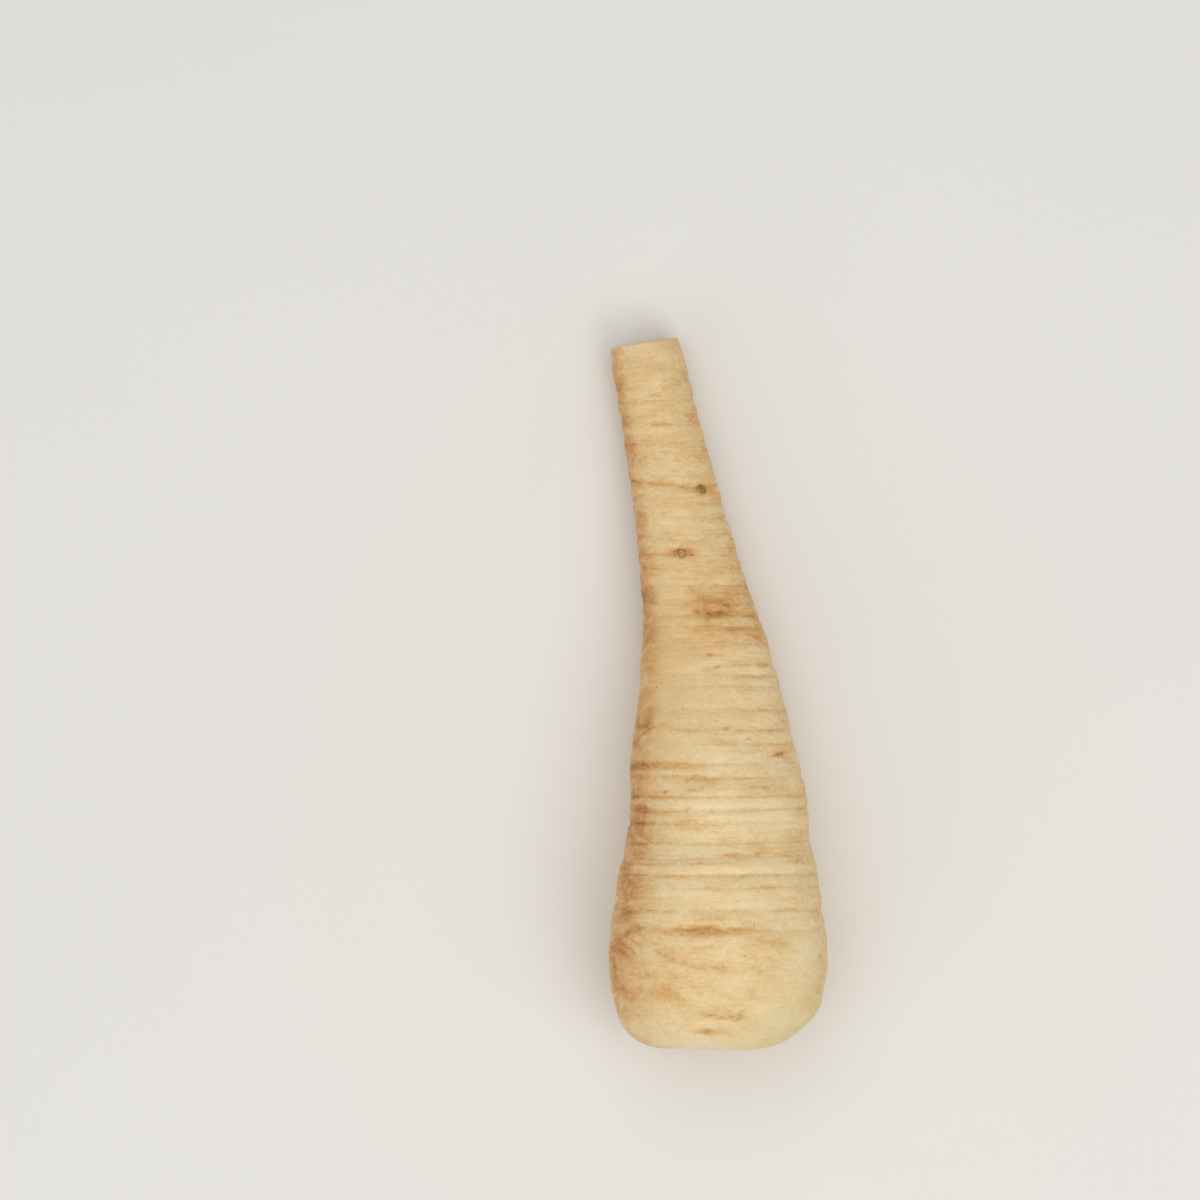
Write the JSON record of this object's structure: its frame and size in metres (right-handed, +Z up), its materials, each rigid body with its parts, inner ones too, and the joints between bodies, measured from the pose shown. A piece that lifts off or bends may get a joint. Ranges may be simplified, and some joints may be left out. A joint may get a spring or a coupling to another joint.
{
  "type": "parsnip",
  "caption": "Whole trimmed parsnip root lying on its side: broad shoulders, sunken crown with cut leaf stalks, ringed and scarred skin, tapering to a cut tail.",
  "frame": {"origin": "on the resting surface, under the middle of the root's box", "axes": "+Z up, the root lying on its side; +Y from the crown towards the tail, the longest extent; +X to the right when looking down with the tail pointing away"},
  "size_m": [0.0458, 0.1498, 0.0439],
  "materials": {
    "skin": "raw parsnip skin: cream with tan rings and brown side-root scars, matt with a faint waxy sheen"
  },
  "bodies": {
    "root": {"parsnip_root": "skin"}
  },
  "joints": []
}
